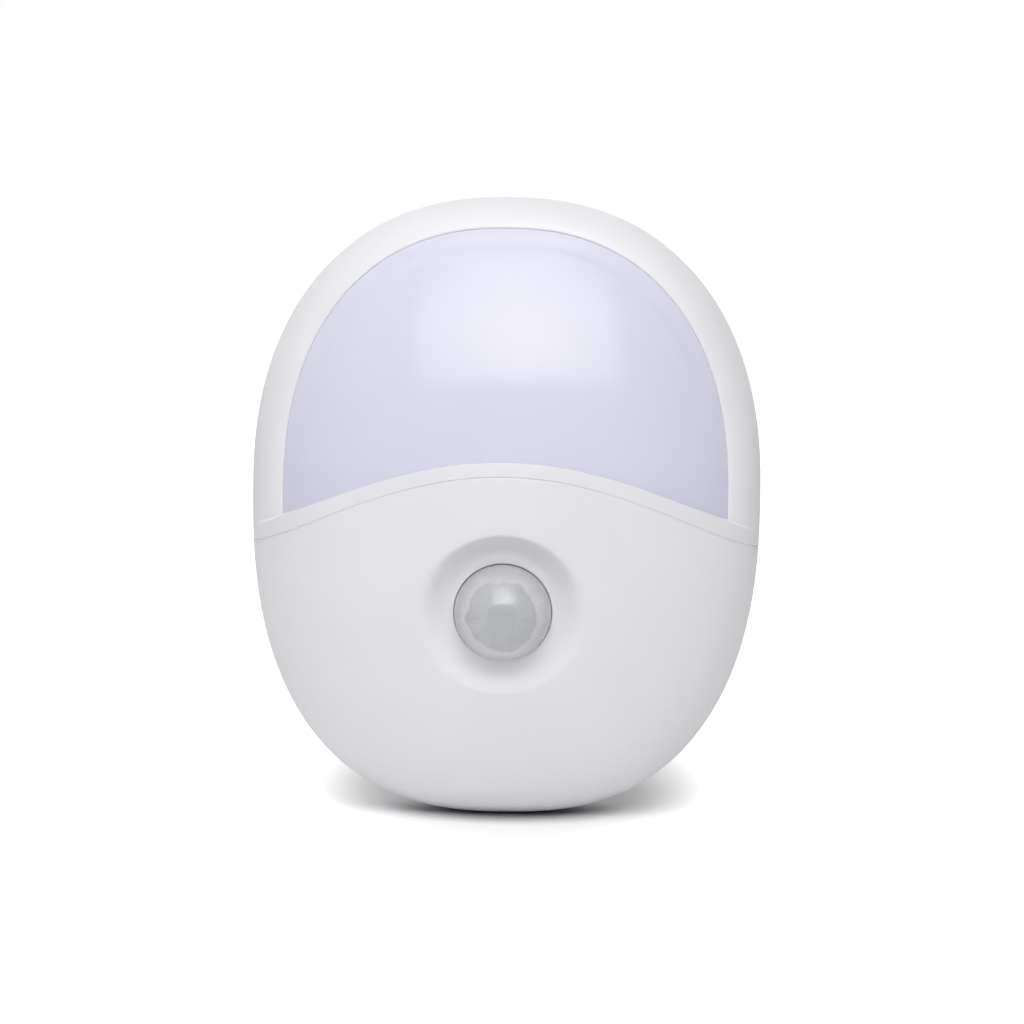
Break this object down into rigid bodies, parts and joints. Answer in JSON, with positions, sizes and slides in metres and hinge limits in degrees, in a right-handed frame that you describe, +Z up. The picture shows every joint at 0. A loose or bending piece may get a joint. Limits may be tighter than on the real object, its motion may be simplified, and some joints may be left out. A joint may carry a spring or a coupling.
{
  "type": "plug in night light",
  "caption": "Domed oval plug-in night light with an opal window, an arched band, a motion sensor lens in a round dish and a slide switch on its side.",
  "frame": {"origin": "midway between the two contact pins, on the plug's engagement face", "axes": "+X to the right seen from the front, +Y into the wall along the pins, +Z up"},
  "size_m": [0.08, 0.0746, 0.0971],
  "materials": {
    "housing_white": "satin gloss moulded white",
    "opal_diffuser": "opal, satin",
    "sensor_lens": "translucent satin",
    "inner_white": "matt moulded",
    "green_board": "solder resist",
    "white_board": "white solder resist",
    "led_yellow": "phosphor",
    "screw_steel": "zinc plated",
    "pin_nickel": "nickel plated brass",
    "can_steel": "tinned",
    "capacitor_yellow": "moulded box",
    "capacitor_sleeve": "shrink sleeve",
    "varistor_blue": "epoxy coat",
    "fuse_green": "coated",
    "black_parts": "moulded epoxy",
    "light_sensor": "ceramic",
    "wire_red": "insulation",
    "wire_brown": "insulation",
    "wire_blue": "insulation"
  },
  "bodies": {
    "root": {"rear_shell": "housing_white", "front_frame": "housing_white", "lower_cover": "housing_white", "diffuser": "opal_diffuser", "pir_lens": "sensor_lens", "lens_retainer": "inner_white", "retainer_screws": "screw_steel", "light_tray": "inner_white", "led_board": "white_board", "led_chips": "led_yellow", "tray_screws": "screw_steel", "light_sensor": "light_sensor", "led_wires": "wire_red", "main_board": "green_board", "board_screws": "screw_steel", "film_capacitor": "capacitor_yellow", "electrolytic_capacitor": "capacitor_sleeve", "bridge_rectifier": "black_parts", "fuse_resistor": "fuse_green", "varistor": "varistor_blue", "driver_chip": "black_parts", "sensor_chip": "black_parts", "resistors": "black_parts", "sensor_board": "green_board", "sensor_can": "can_steel", "sensor_standoffs": "inner_white", "pin_header": "black_parts", "switch_body": "can_steel", "plug_boss": "housing_white", "pin_left": "pin_nickel", "pin_right": "pin_nickel", "pin_retainer": "inner_white", "pin_screws": "screw_steel", "live_wire": "wire_brown", "neutral_wire": "wire_blue", "housing_screws": "screw_steel"},
    "mode_slider": {"switch_lever": "black_parts", "switch_knob": "housing_white"}
  },
  "joints": [
    {"name": "mode_switch", "type": "slide", "parent": "root", "child": "mode_slider", "axis": [0, 0, 1], "range_m": [-0.002, 0.002]}
  ]
}
